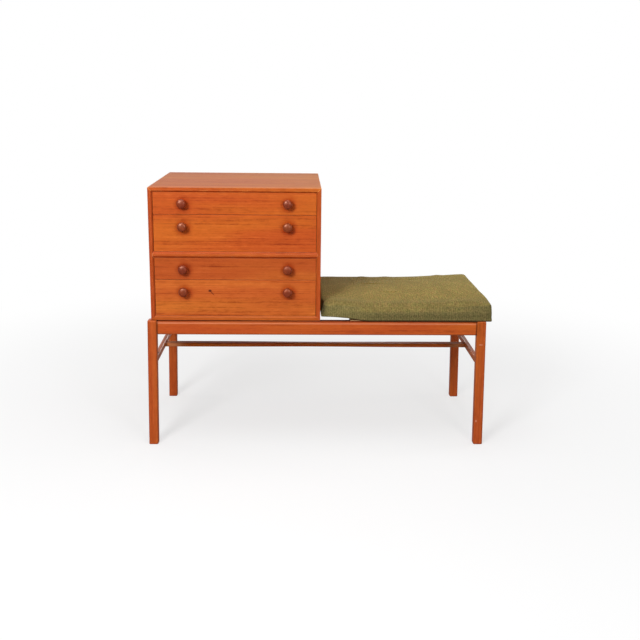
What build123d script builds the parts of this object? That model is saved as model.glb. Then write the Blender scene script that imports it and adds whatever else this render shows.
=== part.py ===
"""Telephone bench: a low teak frame with a chest of four drawers and a loose seat cushion.

Millimetres, +Z up, the front faces -Y.  The pieces are laid out from the middle of the frame's
length (X), the front faces of the legs (Y) and the floor (Z), and are moved at the end so that
the origin is the middle of the bench's outline on the floor.
"""
from build123d import *
import math
import os

# ---- frame ----
LENGTH = 982.0           # over the outer faces of the legs, at their tops
DEPTH = 440.0
FRAME_HEIGHT = 380.0
LEG = 27.0               # square section
LEG_SPLAY = 6.0          # each foot stands this much further out than the top of its leg
LEG_CORNER = 5.0         # rounding of the four long edges
LEG_TOP_ROUND = 4.0
FOOT_CHAMFER = 1.0
RAIL_DROP = 1.6          # the rails stop short of the legs' tops, so the chest stands clear of them
RAIL_HEIGHT = 40.2
RAIL_THICKNESS = 22.0
RAIL_SETBACK = 2.5       # from the outer faces of the legs
RAIL_ROUND = 7.0         # top outer edge
RAIL_EDGE = 1.5          # its other long edges
TENON = 8.0              # thickness and length of the stub tenons
TENON_HEIGHT = 28.0
STRETCHER_BOTTOM = 239.5
STRETCHER_HEIGHT = 20.0
STRETCHER_THICKNESS = 12.0
STRETCHER_INSET = 7.5    # from the leg's outer face at its top
STRETCHER_ROUND = 2.5
BRACE_WIDTH = 28.0       # the long stretcher lies flat and narrows towards its middle
BRACE_WAIST = 20.0
BRACE_WAIST_START = 300.0
BRACE_HEIGHT = 11.6
BRACE_ROUND = 3.0
BRACE_HOUSING = 4.0      # how far its ends enter the side stretchers
LEG_HOUSING = 7.0        # how far the side stretchers enter the legs

# ---- seat support ----
SLAT_COUNT = 4
SLAT_WIDTH = 70.0
SLAT_PITCH = 98.0
SLAT_FIRST = 95.0        # left edge of the first slat
SLAT_THICKNESS = 12.0
SLAT_HOUSING = 10.0      # how far its ends lie in the rails
BEARER_WIDTH = 45.0
BEARER_THICKNESS = 20.0
BEARER_INSET = 75.0      # middle of a bearer from the chest's side

# ---- chest ----
CHEST_INSET = 11.0       # left side, from the frame's left end
CHEST_WIDTH = 487.0
CHEST_DEPTH = 440.0
CHEST_SETBACK = 6.0
PANEL = 12.5
BEVEL = 4.0              # slanted inner front edge of every panel; the drawers stand this deep
PANEL_EDGE = 1.0         # rounding of the chest's outer edges
DIVIDER_HEIGHT = 17.6
DIVIDER_BEVEL = 5.5      # height of the slants above and below its nose
DIVIDER_DEPTH = 70.0
DIVIDER_HOUSING = 6.0
SMALL_BAY = 63.7
LARGE_BAY = 106.5
BACK_THICKNESS = 4.0
BACK_REBATE = 8.0

# ---- drawers ----
DRAWER_GAP_SIDE = 1.0
DRAWER_GAP_HEIGHT = 0.5
FRONT_THICKNESS = 16.0
FRONT_EDGE = 0.6
SIDE_THICKNESS = 12.0
SIDE_ABOVE_BAY = 4.0     # lower edge of the sides, above the bottom of the bay
SIDE_BELOW_BAY = 8.5     # upper edge of the sides, below the top of the bay
BOX_LENGTH = 384.0       # sides, behind the front
TAIL_LENGTH = 10.0
TAIL_PITCH = 24.0
TAIL_FLARE = 1.6
BOTTOM_THICKNESS = 4.0
BOTTOM_RAISE = 10.0      # underside of the drawer bottom, above the bottom of the bay
GROOVE = 5.0             # depth of the grooves that hold it
DRAWER_BACK = 10.0
DRAWER_BACK_INSET = 2.0
DRAWER_BACK_DROP = 3.5
RUNNER_HEIGHT = 9.4
RUNNER_WIDTH = 6.0
RUNNER_CLEARANCE = 0.3
RUNNER_RAISE = 24.0      # underside of a runner, above the bottom of the bay
RUNNER_START = 34.0      # from the front of the chest
RUNNER_LENGTH = 390.0

# ---- knobs ----
KNOB_SPACING = 297.0
KNOB_DROP = {SMALL_BAY: SMALL_BAY / 2, LARGE_BAY: 33.5}   # centre, below the top of the bay
KNOB_RADIUS = 13.4
KNOB_REACH = 24.0
KNOB_NECK_RADIUS = 6.5
KNOB_FOOT_RADIUS = 8.5
SPIGOT_RADIUS = 4.0
SPIGOT_LENGTH = 9.0
SPIGOT_CLEARANCE = 0.05

# ---- fasteners ----
SCREW_RADIUS = 2.0
SCREW_HEAD_RADIUS = 4.0
SCREW_HEAD_HEIGHT = 3.0
SLAT_SCREW_LENGTH = 26.0
CHEST_SCREW_LENGTH = 29.0
PIN_RADIUS = 0.8
PIN_HEAD_RADIUS = 1.6
PIN_HEAD_HEIGHT = 0.6
PIN_LENGTH = 14.0
PIN_SPACING = 95.0

# ---- cushion ----
CUSHION_LEFT_GAP = 0.6   # from the chest's side
CUSHION_RIGHT = 504.0    # it hangs over the right legs
CUSHION_FRONT = 1.0
CUSHION_BACK = 427.0
CUSHION_CLEARANCE = 0.3  # above the rails and slats
CUSHION_EDGE_HEIGHT = 41.0
CUSHION_RISE = 13.0      # its edges climb by this much towards the right end
CUSHION_RISE_START = 200.0
CUSHION_CROWN = 8.0
CUSHION_CROWN_END = 2.5
CUSHION_ROUND_LEFT = 16.0
CUSHION_ROUND_RIGHT = 12.0
CUSHION_PULL = 3.0       # the long sides draw in by this much between the corners
CUSHION_BULGE = 7.0      # the walls stand out by this much between their edges
CUSHION_LIFT = 13.5      # the front left corner rides up against the chest
CUSHION_LIFT_REACH = 132.0
CUSHION_STATIONS = (40, 65, 85, 105, 122, 132, 180, 250, 320, 390, 440)  # from its left end

# ---- worked out from the above ----
HALF = LENGTH / 2
RAIL_TOP = FRAME_HEIGHT - RAIL_DROP
RAIL_BOTTOM = RAIL_TOP - RAIL_HEIGHT
TENON_BOTTOM = RAIL_BOTTOM + (RAIL_HEIGHT - TENON_HEIGHT) / 2
RAIL_INSIDE = RAIL_SETBACK + RAIL_THICKNESS
CHEST_LEFT = CHEST_INSET - HALF
CHEST_RIGHT = CHEST_LEFT + CHEST_WIDTH
CHEST_MIDDLE = (CHEST_LEFT + CHEST_RIGHT) / 2
CHEST_FRONT = CHEST_SETBACK
CHEST_BACK = CHEST_FRONT + CHEST_DEPTH
CHEST_BOTTOM = FRAME_HEIGHT
CHEST_HEIGHT = 2 * (PANEL + SMALL_BAY + LARGE_BAY) + DIVIDER_HEIGHT
CHEST_TOP = CHEST_BOTTOM + CHEST_HEIGHT
INNER_LEFT = CHEST_LEFT + PANEL
INNER_RIGHT = CHEST_RIGHT - PANEL
DIVIDER_BOTTOM = CHEST_BOTTOM + PANEL + LARGE_BAY + SMALL_BAY
DIVIDER_TOP = DIVIDER_BOTTOM + DIVIDER_HEIGHT
FRONT_FACE = CHEST_FRONT + BEVEL
FRONT_BACK = FRONT_FACE + FRONT_THICKNESS
BOX_BACK = FRONT_BACK + BOX_LENGTH
UPPER_TOP = CHEST_TOP - PANEL
BAYS = {                 # number: (bottom, top), counted from the top drawer
    1: (UPPER_TOP - SMALL_BAY, UPPER_TOP),
    2: (DIVIDER_TOP, UPPER_TOP - SMALL_BAY),
    3: (DIVIDER_BOTTOM - SMALL_BAY, DIVIDER_BOTTOM),
    4: (DIVIDER_BOTTOM - SMALL_BAY - LARGE_BAY, DIVIDER_BOTTOM - SMALL_BAY),
}
KNOB_XS = (CHEST_MIDDLE - KNOB_SPACING / 2, CHEST_MIDDLE + KNOB_SPACING / 2)
ORIGIN = (
    (CUSHION_RIGHT - HALF - LEG_SPLAY) / 2,
    (FRONT_FACE - KNOB_REACH + CHEST_BACK) / 2,
    0.0,
)

parts = {}               # node name: its solid, or a list of its separate solids


def block(x0, x1, y0, y1, z0, z1):
    """A plain board between two planes on each axis."""
    middle = Pos((x0 + x1) / 2, (y0 + y1) / 2, (z0 + z1) / 2)
    return middle * Box(x1 - x0, y1 - y0, z1 - z0)


def prism(points, direction):
    """A closed outline of straight lines, pushed along a vector."""
    outline = make_face(Polyline(*points, close=True))
    return extrude(outline, amount=Vector(direction).length, dir=direction)


def screw(length, radius, head_radius, head_height):
    """A countersunk screw or pin: its head's face is at the origin and it points down."""
    shank = Pos(0, 0, -length / 2) * Cylinder(radius, length)
    head = Pos(0, 0, -head_height / 2) * Cone(radius, head_radius, head_height)
    return shank + head


# ---------------------------------------------------------------- frame

def leg_prism(side, front, sharp=False):
    """A leg before its mortises.  side is -1 or 1; the section slides outwards on its way down."""
    x = side * (HALF - LEG / 2)
    y = LEG / 2 if front else DEPTH - LEG / 2
    section = Rectangle(LEG, LEG) if sharp else RectangleRounded(LEG, LEG, LEG_CORNER)
    down = Vector(side * LEG_SPLAY, 0, -FRAME_HEIGHT)
    return extrude(Pos(x, y, FRAME_HEIGHT) * section, amount=down.length, dir=down)


def leg(side, front):
    post = leg_prism(side, front)
    post = fillet(post.faces().sort_by(Axis.Z)[-1].edges(), LEG_TOP_ROUND)
    return chamfer(post.faces().sort_by(Axis.Z)[0].edges(), FOOT_CHAMFER)


def round_bar(bar, along, outer, outermost):
    """Round a rail: generously on its top outer edge, lightly on its other long edges."""
    edges = bar.edges().filter_by(along)
    top_outer = edges.group_by(Axis.Z)[-1].sort_by(outer)[outermost]
    bar = fillet(top_outer, RAIL_ROUND)
    edges = bar.edges().filter_by(along)
    inside = edges.group_by(outer)[0 if outermost else -1]
    outer_bottom = edges.group_by(Axis.Z)[0].sort_by(outer)[outermost]
    return fillet(inside + [outer_bottom], RAIL_EDGE)


def long_rail(front):
    """Front or back rail with a stub tenon at each end."""
    reach = HALF - LEG / 2
    y0 = RAIL_SETBACK if front else DEPTH - RAIL_SETBACK - RAIL_THICKNESS
    bar = block(-reach, reach, y0, y0 + RAIL_THICKNESS, RAIL_BOTTOM, RAIL_TOP)
    bar = round_bar(bar, Axis.X, Axis.Y, 0 if front else -1)
    bar -= leg_prism(-1, front, sharp=True) + leg_prism(1, front, sharp=True)
    y = LEG / 2 if front else DEPTH - LEG / 2
    tip = HALF - LEG + TENON
    inside = tip - 2 * TENON
    tenons = [
        block(x0, x1, y - TENON / 2, y + TENON / 2, TENON_BOTTOM, TENON_BOTTOM + TENON_HEIGHT)
        for x0, x1 in ((-tip, -inside), (inside, tip))
    ]
    return bar + tenons


def short_rail(side):
    """Left or right rail with a stub tenon at each end."""
    outer = HALF - RAIL_SETBACK
    x0, x1 = sorted((side * outer, side * (outer - RAIL_THICKNESS)))
    bar = block(x0, x1, LEG, DEPTH - LEG, RAIL_BOTTOM, RAIL_TOP)
    bar = round_bar(bar, Axis.Y, Axis.X, 0 if side < 0 else -1)
    x = side * (HALF - LEG / 2)
    tenons = [
        block(x - TENON / 2, x + TENON / 2, y0, y1, TENON_BOTTOM, TENON_BOTTOM + TENON_HEIGHT)
        for y0, y1 in ((LEG - TENON, LEG + TENON), (DEPTH - LEG - TENON, DEPTH - LEG + TENON))
    ]
    return bar + tenons


def side_stretcher(side):
    outer = HALF - STRETCHER_INSET
    x0, x1 = sorted((side * outer, side * (outer - STRETCHER_THICKNESS)))
    y0, y1 = LEG - LEG_HOUSING, DEPTH - LEG + LEG_HOUSING
    bar = block(x0, x1, y0, y1, STRETCHER_BOTTOM, STRETCHER_BOTTOM + STRETCHER_HEIGHT)
    return fillet(bar.edges().filter_by(Axis.Y), STRETCHER_ROUND)


def long_stretcher():
    """The flat bar that ties the two side stretchers together at the middle of their length."""
    reach = HALF - STRETCHER_INSET - STRETCHER_THICKNESS + BRACE_HOUSING
    level = Pos(0, DEPTH / 2, STRETCHER_BOTTOM)
    with BuildSketch() as plan:
        with BuildLine():
            for side in (-1, 1):
                wide, narrow = side * BRACE_WIDTH / 2, side * BRACE_WAIST / 2
                start = BRACE_WAIST_START
                Line((-reach, wide), (-start, wide))
                Spline((-start, wide), (0, narrow), (start, wide), tangents=((1, 0), (1, 0)))
                Line((start, wide), (reach, wide))
            for end in (-reach, reach):
                Line((end, -BRACE_WIDTH / 2), (end, BRACE_WIDTH / 2))
        make_face()
    bar = extrude(level * plan.sketch, amount=BRACE_HEIGHT)
    flat = bar.faces().filter_by(Axis.Z).edges()
    return fillet(flat - flat.filter_by(Axis.Y), BRACE_ROUND)


def cross_board(x0, x1, thickness):
    """A board from front rail to back rail, its top level with the legs' and its ends let in."""
    y0 = RAIL_INSIDE - SLAT_HOUSING
    return block(x0, x1, y0, DEPTH - y0, FRAME_HEIGHT - thickness, FRAME_HEIGHT)


def make_frame():
    legs = {}
    for front in (True, False):
        for side in (-1, 1):
            name = f"leg_{'front' if front else 'back'}_{'left' if side < 0 else 'right'}"
            legs[name] = leg(side, front)
    rails = {
        "rail_front": long_rail(True),
        "rail_back": long_rail(False),
        "rail_left": short_rail(-1),
        "rail_right": short_rail(1),
    }
    sides = {"stretcher_left": side_stretcher(-1), "stretcher_right": side_stretcher(1)}
    brace = long_stretcher()

    slats = {}
    for number in range(SLAT_COUNT):
        x0 = SLAT_FIRST + number * SLAT_PITCH
        slats[f"seat_slat_{number + 1}"] = cross_board(x0, x0 + SLAT_WIDTH, SLAT_THICKNESS)
    bearers = {}
    for name, x in (("left", CHEST_LEFT + BEARER_INSET), ("right", CHEST_RIGHT - BEARER_INSET)):
        x0, x1 = x - BEARER_WIDTH / 2, x + BEARER_WIDTH / 2
        bearers[f"bearer_{name}"] = cross_board(x0, x1, BEARER_THICKNESS)

    # one screw through each end of each slat, down into the rail
    end_y = RAIL_INSIDE - SLAT_HOUSING / 2
    one = screw(SLAT_SCREW_LENGTH, SCREW_RADIUS, SCREW_HEAD_RADIUS, SCREW_HEAD_HEIGHT)
    slat_xs = [SLAT_FIRST + n * SLAT_PITCH + SLAT_WIDTH / 2 for n in range(SLAT_COUNT)]
    slat_screws = [Pos(x, y, FRAME_HEIGHT) * one for x in slat_xs for y in (end_y, DEPTH - end_y)]

    for name in legs:
        for other in list(rails.values()) + list(sides.values()):
            legs[name] -= other
    for name in ("rail_front", "rail_back"):
        for board in list(slats.values()) + list(bearers.values()) + slat_screws:
            rails[name] -= board
    for name in sides:
        sides[name] -= brace
    for name in slats:
        for fastener in slat_screws:
            slats[name] -= fastener

    parts.update(legs)
    parts.update(rails)
    parts.update(sides)
    parts["stretcher_long"] = brace
    parts.update(slats)
    parts.update(bearers)
    parts["slat_screws"] = slat_screws


# ---------------------------------------------------------------- chest

def make_chest():
    """Four mitred panels, a divider across the front, a thin back and the screws that hold it."""
    outer = ((CHEST_LEFT, CHEST_BOTTOM), (CHEST_RIGHT, CHEST_BOTTOM),
             (CHEST_RIGHT, CHEST_TOP), (CHEST_LEFT, CHEST_TOP))
    inner = ((INNER_LEFT, CHEST_BOTTOM + PANEL), (INNER_RIGHT, CHEST_BOTTOM + PANEL),
             (INNER_RIGHT, CHEST_TOP - PANEL), (INNER_LEFT, CHEST_TOP - PANEL))
    names = ("chest_bottom", "chest_right_side", "chest_top", "chest_left_side")

    # the space inside, widened by the bevel at the front and by the rebate at the back
    middle_x, middle_z = CHEST_MIDDLE, (CHEST_BOTTOM + CHEST_TOP) / 2
    clear_x, clear_z = INNER_RIGHT - INNER_LEFT, CHEST_HEIGHT - 2 * PANEL
    mouth = loft([
        Plane((middle_x, CHEST_FRONT, middle_z), x_dir=(1, 0, 0), z_dir=(0, -1, 0))
        * Rectangle(clear_x + 2 * BEVEL, clear_z + 2 * BEVEL),
        Plane((middle_x, FRONT_FACE, middle_z), x_dir=(1, 0, 0), z_dir=(0, -1, 0))
        * Rectangle(clear_x, clear_z),
    ])
    back = block(INNER_LEFT - BACK_REBATE, INNER_RIGHT + BACK_REBATE,
                 CHEST_BACK - BACK_THICKNESS, CHEST_BACK,
                 CHEST_BOTTOM + PANEL - BACK_REBATE, CHEST_TOP - PANEL + BACK_REBATE)

    shell = block(CHEST_LEFT, CHEST_RIGHT, CHEST_FRONT, CHEST_BACK, CHEST_BOTTOM, CHEST_TOP)
    shell = fillet(shell.edges().filter_by(Axis.Y) + shell.faces().sort_by(Axis.Y)[0].edges(),
                   PANEL_EDGE)
    shell = shell - mouth - back

    # the divider's nose fills the bevels of the two sides, as a mitred joint does
    nose = [(CHEST_FRONT, DIVIDER_BOTTOM + DIVIDER_BEVEL), (FRONT_FACE, DIVIDER_BOTTOM),
            (CHEST_FRONT + DIVIDER_DEPTH, DIVIDER_BOTTOM),
            (CHEST_FRONT + DIVIDER_DEPTH, DIVIDER_TOP),
            (FRONT_FACE, DIVIDER_TOP), (CHEST_FRONT, DIVIDER_TOP - DIVIDER_BEVEL)]
    start = INNER_LEFT - BEVEL
    divider = prism([(start, y, z) for y, z in nose], (INNER_RIGHT + BEVEL - start, 0, 0))
    sides = [shell & block(*ends, CHEST_FRONT, CHEST_BACK, CHEST_BOTTOM, CHEST_TOP)
             for ends in ((CHEST_LEFT, INNER_LEFT), (INNER_RIGHT, CHEST_RIGHT))]
    divider = divider - sides[0] - sides[1]
    divider += block(INNER_LEFT - DIVIDER_HOUSING, INNER_RIGHT + DIVIDER_HOUSING,
                     CHEST_FRONT + 2 * BEVEL, CHEST_FRONT + DIVIDER_DEPTH,
                     DIVIDER_BOTTOM, DIVIDER_TOP)

    # screws from below, through the bearers into the bottom panel
    up = Pos(0, 0, FRAME_HEIGHT - BEARER_THICKNESS) * Rot(180, 0, 0)
    one = up * screw(CHEST_SCREW_LENGTH, SCREW_RADIUS, SCREW_HEAD_RADIUS, SCREW_HEAD_HEIGHT)
    bearer_xs = (CHEST_LEFT + BEARER_INSET, CHEST_RIGHT - BEARER_INSET)
    chest_screws = [Pos(x, y, 0) * one for x in bearer_xs for y in (DEPTH / 4, 3 * DEPTH / 4)]

    # pins round the back panel, in the middle of the rebate
    pin = screw(PIN_LENGTH, PIN_RADIUS, PIN_HEAD_RADIUS, PIN_HEAD_HEIGHT)
    pin = Pos(0, CHEST_BACK, 0) * Rot(-90, 0, 0) * pin
    edge = BACK_REBATE / 2
    xs, zs = [], []
    across = INNER_RIGHT - INNER_LEFT
    for n in range(round(across / PIN_SPACING) + 1):
        xs.append(INNER_LEFT + across * n / round(across / PIN_SPACING))
    for n in range(1, round(clear_z / PIN_SPACING)):
        zs.append(CHEST_BOTTOM + PANEL + clear_z * n / round(clear_z / PIN_SPACING))
    pins = [Pos(x, 0, z) * pin for x in xs
            for z in (CHEST_BOTTOM + PANEL - edge, CHEST_TOP - PANEL + edge)]
    pins += [Pos(x, 0, z) * pin for x in (INNER_LEFT - edge, INNER_RIGHT + edge) for z in zs]

    for number, name in enumerate(names):
        following = (number + 1) % 4
        outline = (outer[number], outer[following], inner[following], inner[number])
        wedge = prism([(x, CHEST_FRONT, z) for x, z in outline], (0, CHEST_DEPTH, 0))
        panel = shell & wedge
        for other in [divider, *chest_screws, *pins]:
            panel -= other
        parts[name] = panel
    for fastener in pins:
        back -= fastener
    for name in ("bearer_left", "bearer_right"):
        for fastener in chest_screws:
            parts[name] -= fastener

    parts["chest_divider"] = divider
    parts["chest_back"] = back
    parts["chest_screws"] = chest_screws
    parts["back_pins"] = pins
    for number, (bottom, _) in BAYS.items():
        z0 = bottom + RUNNER_RAISE
        y0 = CHEST_FRONT + RUNNER_START
        parts[f"drawer_runners_{number}"] = [
            block(x0, x0 + RUNNER_WIDTH, y0, y0 + RUNNER_LENGTH, z0, z0 + RUNNER_HEIGHT)
            for x0 in (INNER_LEFT, INNER_RIGHT - RUNNER_WIDTH)
        ]


# ---------------------------------------------------------------- drawers

def tails(x0, x1, z0, z1):
    """Dovetails on the front end of a drawer side: they widen away from it."""
    count = round((z1 - z0) / TAIL_PITCH)
    pitch = (z1 - z0) / count
    tip = FRONT_BACK - TAIL_LENGTH
    made = []
    for number in range(count):
        z = z0 + pitch * (number + 0.5)
        root, end = pitch / 4, pitch / 4 + TAIL_FLARE
        outline = [(x0, FRONT_BACK, z - root), (x0, FRONT_BACK, z + root),
                   (x0, tip, z + end), (x0, tip, z - end)]
        made.append(prism(outline, (x1 - x0, 0, 0)))
    return made


def knob(x, z):
    """A turned knob: a domed face, a round rim, a drawn-in neck and a glued-in spigot."""
    rim = -KNOB_REACH * 0.66
    with BuildSketch() as half:
        with BuildLine():
            face = (0, -KNOB_REACH)
            shoulder = (KNOB_RADIUS * 0.80, -KNOB_REACH * 0.914)
            widest = (KNOB_RADIUS, rim)
            under = (KNOB_RADIUS * 0.80, -KNOB_REACH * 0.44)
            neck = (KNOB_NECK_RADIUS, -KNOB_REACH * 0.20)
            foot = (KNOB_FOOT_RADIUS, 0)
            ThreePointArc(face, (KNOB_RADIUS * 0.42, -KNOB_REACH * 0.977), shoulder)
            ThreePointArc(shoulder, (KNOB_RADIUS * 0.955, -KNOB_REACH * 0.80), widest)
            ThreePointArc(widest, (KNOB_RADIUS * 0.945, -KNOB_REACH * 0.53), under)
            ThreePointArc(under, (KNOB_RADIUS * 0.61, -KNOB_REACH * 0.33), neck)
            ThreePointArc(neck, (KNOB_NECK_RADIUS * 1.03, -KNOB_REACH * 0.08), foot)
            Polyline(foot, (SPIGOT_RADIUS, 0), (SPIGOT_RADIUS, SPIGOT_LENGTH),
                     (0, SPIGOT_LENGTH), face)
        make_face()
    turned = revolve(half.sketch, Axis.Y)
    return Pos(x, FRONT_FACE, z) * turned


def make_drawer(number, bottom, top):
    left, right = INNER_LEFT + DRAWER_GAP_SIDE, INNER_RIGHT - DRAWER_GAP_SIDE
    z0, z1 = bottom + SIDE_ABOVE_BAY, top - SIDE_BELOW_BAY
    inside_left, inside_right = left + SIDE_THICKNESS, right - SIDE_THICKNESS

    front = block(left, right, FRONT_FACE, FRONT_BACK,
                  bottom + DRAWER_GAP_HEIGHT, top - DRAWER_GAP_HEIGHT)
    front = fillet(front.faces().sort_by(Axis.Y)[0].edges(), FRONT_EDGE)

    plate_z0 = bottom + BOTTOM_RAISE
    plate_z1 = plate_z0 + BOTTOM_THICKNESS
    plate = block(inside_left - GROOVE, inside_right + GROOVE,
                  FRONT_BACK, BOX_BACK, plate_z0, plate_z1)
    plate += block(inside_left, inside_right,
                   FRONT_BACK - GROOVE, FRONT_BACK, plate_z0, plate_z1)

    sides = {}
    for name, x0, x1 in (("left", left, inside_left), ("right", inside_right, right)):
        board = block(x0, x1, FRONT_BACK, BOX_BACK, z0, z1)
        board += tails(x0, x1, z0, z1)
        outer_x = left if name == "left" else right - RUNNER_WIDTH + DRAWER_GAP_SIDE / 2
        groove_z0 = bottom + RUNNER_RAISE - RUNNER_CLEARANCE
        board -= block(outer_x, outer_x + RUNNER_WIDTH - DRAWER_GAP_SIDE / 2,
                       FRONT_BACK, BOX_BACK,
                       groove_z0, groove_z0 + RUNNER_HEIGHT + 2 * RUNNER_CLEARANCE)
        board -= plate
        front -= board
        sides[name] = board

    back_y1 = BOX_BACK - DRAWER_BACK_INSET
    back = block(inside_left, inside_right, back_y1 - DRAWER_BACK, back_y1,
                 plate_z1, z1 - DRAWER_BACK_DROP)
    front -= plate

    knobs = {}
    for name, x in zip(("left", "right"), KNOB_XS):
        z = top - KNOB_DROP[round(top - bottom, 1)]
        knobs[name] = knob(x, z)
        hole = Cylinder(SPIGOT_RADIUS + SPIGOT_CLEARANCE, SPIGOT_LENGTH + 1)
        front -= Pos(x, FRONT_FACE + (SPIGOT_LENGTH + 1) / 2, z) * Rot(90, 0, 0) * hole

    prefix = f"drawer_{number}"
    parts[f"{prefix}_front"] = front
    parts[f"{prefix}_left_side"] = sides["left"]
    parts[f"{prefix}_right_side"] = sides["right"]
    parts[f"{prefix}_back"] = back
    parts[f"{prefix}_bottom"] = plate
    parts[f"{prefix}_left_knob"] = knobs["left"]
    parts[f"{prefix}_right_knob"] = knobs["right"]


# ---------------------------------------------------------------- cushion

def cushion_section(x, shrink):
    """The cushion's outline across its depth at x, drawn in by a share of shrink on each side.

    The walls and the top are arcs, the underside is a straight line.
    """
    left = CHEST_RIGHT + CUSHION_LEFT_GAP
    half = (CUSHION_RIGHT - left) / 2
    along = (x - left - half) / half
    drawn = CUSHION_PULL * (1 - along ** 2)
    front = CUSHION_FRONT + drawn + 0.6 * shrink
    back = CUSHION_BACK - drawn - 0.6 * shrink
    lift = CUSHION_LIFT * max(0.0, 1 - (x - left) / CUSHION_LIFT_REACH) ** 0.55
    rise_at = max(0.0, x - CUSHION_RISE_START) / (CUSHION_RIGHT - CUSHION_RISE_START)
    base = FRAME_HEIGHT + CUSHION_CLEARANCE + 0.4 * shrink
    edge = FRAME_HEIGHT + CUSHION_CLEARANCE + CUSHION_EDGE_HEIGHT
    edge += CUSHION_RISE * rise_at ** 2 - 0.85 * shrink
    crown = CUSHION_CROWN * (1 - along ** 4) + CUSHION_CROWN_END
    middle = (base + edge) / 2
    corners = {
        "low_front": (front + CUSHION_BULGE, base + lift),
        "low_back": (back - CUSHION_BULGE, base),
        "high_back": (back - CUSHION_BULGE, edge),
        "high_front": (front + CUSHION_BULGE, edge + lift),
    }
    point = {name: Vector(x, y, z) for name, (y, z) in corners.items()}
    top = Vector(x, (front + back) / 2, edge + lift / 2 + crown)
    return Wire([
        Edge.make_line(point["low_front"], point["low_back"]),
        Edge.make_three_point_arc(point["low_back"], Vector(x, back, middle), point["high_back"]),
        Edge.make_three_point_arc(point["high_back"], top, point["high_front"]),
        Edge.make_three_point_arc(point["high_front"], Vector(x, front, middle + lift),
                                  point["low_front"]),
    ])


def make_cushion():
    """A loft through outlines across the depth; they close in on a quarter circle at both ends."""
    left = CHEST_RIGHT + CUSHION_LEFT_GAP
    turn = [math.radians(angle) for angle in (0, 30, 60, 90)]
    ends = [(1 - math.cos(a), 1 - math.sin(a)) for a in turn]    # step inwards, share drawn in
    stations = [(left + CUSHION_ROUND_LEFT * step, CUSHION_ROUND_LEFT * share)
                for step, share in ends]
    stations += [(left + step, 0.0) for step in CUSHION_STATIONS]
    stations += [(CUSHION_RIGHT - CUSHION_ROUND_RIGHT * step, CUSHION_ROUND_RIGHT * share)
                 for step, share in reversed(ends)]
    sections = [cushion_section(x, shrink) for x, shrink in stations]
    parts["seat_cushion"] = Solid.make_loft(sections, ruled=True)


make_frame()
make_chest()
for drawer_number, (bay_bottom, bay_top) in BAYS.items():
    make_drawer(drawer_number, bay_bottom, bay_top)
make_cushion()

os.makedirs("parts", exist_ok=True)
place = Pos(*[-value for value in ORIGIN])
for node, made in parts.items():
    # a list is a node of several separate solids
    moved = Compound([place * solid for solid in made]) if isinstance(made, list) else place * made
    export_step(moved, f"parts/{node}.step")
print(len(parts), "pieces, origin moved by", ORIGIN)
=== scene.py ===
"""Telephone bench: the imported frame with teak, turned knobs and a woven wool seat cushion."""
import bmesh
import bpy
import math
import numpy as np
from functools import partial
from mathutils import Matrix, Vector


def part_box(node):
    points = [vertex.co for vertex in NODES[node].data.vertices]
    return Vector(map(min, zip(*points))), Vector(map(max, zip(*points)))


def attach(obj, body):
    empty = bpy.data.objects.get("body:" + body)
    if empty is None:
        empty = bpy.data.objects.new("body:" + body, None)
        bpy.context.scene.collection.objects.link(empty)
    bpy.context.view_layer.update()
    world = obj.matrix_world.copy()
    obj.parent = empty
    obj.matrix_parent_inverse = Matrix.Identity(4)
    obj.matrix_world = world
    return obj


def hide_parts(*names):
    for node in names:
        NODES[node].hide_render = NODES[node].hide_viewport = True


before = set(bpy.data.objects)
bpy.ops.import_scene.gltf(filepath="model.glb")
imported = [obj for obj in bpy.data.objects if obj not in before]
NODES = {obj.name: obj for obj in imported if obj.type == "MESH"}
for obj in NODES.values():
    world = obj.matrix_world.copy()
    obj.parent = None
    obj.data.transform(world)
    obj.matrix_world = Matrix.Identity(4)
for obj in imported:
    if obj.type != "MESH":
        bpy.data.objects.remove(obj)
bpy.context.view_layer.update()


# ---------------------------------------------------------------- helpers

def colour(red, green, blue):
    """A colour given on the 0 to 255 scale, as the linear values a shader wants."""
    values = []
    for value in (red, green, blue):
        v = value / 255
        values.append(v / 12.92 if v <= 0.04045 else ((v + 0.055) / 1.055) ** 2.4)
    return (*values, 1.0)


def add(tree, kind, inputs=(), **settings):
    """Adds a node. Its inputs are given by name or number, as values or as other sockets."""
    node = tree.nodes.new("ShaderNode" + kind)
    for name, value in settings.items():
        setattr(node, name, value)
    for key, value in dict(inputs).items():
        put(tree, node.inputs[key], value)
    return node


def put(tree, socket, value):
    """Gives a socket its value: a plain one, or another socket to read it from."""
    if isinstance(value, bpy.types.NodeSocket):
        tree.links.new(value, socket)
    else:
        socket.default_value = value


def maths(tree, operation, *values, clamp=False):
    """One Math node."""
    return add(tree, "Math", enumerate(values), operation=operation, use_clamp=clamp).outputs[0]


def apart(tree, value, middle):
    """How far a value is from a middle, either way."""
    return maths(tree, "ABSOLUTE", maths(tree, "SUBTRACT", value, middle))


def step(tree, value, low, high, to_low=0.0, to_high=1.0):
    """value from low to high, turned smoothly into to_low to to_high."""
    return add(tree, "MapRange", enumerate((value, low, high, to_low, to_high)),
               interpolation_type="SMOOTHSTEP").outputs[0]


def stretched(tree, vector, x, y, z):
    """A vector times (x, y, z)."""
    return add(tree, "VectorMath", {0: vector, 1: (x, y, z)}, operation="MULTIPLY").outputs[0]


def less(tree, vector, other):
    """A vector less another."""
    return add(tree, "VectorMath", {0: vector, 1: other}, operation="SUBTRACT").outputs[0]


def length(tree, vector):
    """The length of a vector."""
    return add(tree, "VectorMath", {0: vector}, operation="LENGTH").outputs["Value"]


def parts(tree, vector):
    """The x, y and z of a vector."""
    return add(tree, "SeparateXYZ", {0: vector}).outputs


def upward(tree):
    """How far the surface faces up: 1 on a top, 0 on a wall, -1 on an underside."""
    return parts(tree, add(tree, "NewGeometry").outputs["Normal"])[2]


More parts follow.
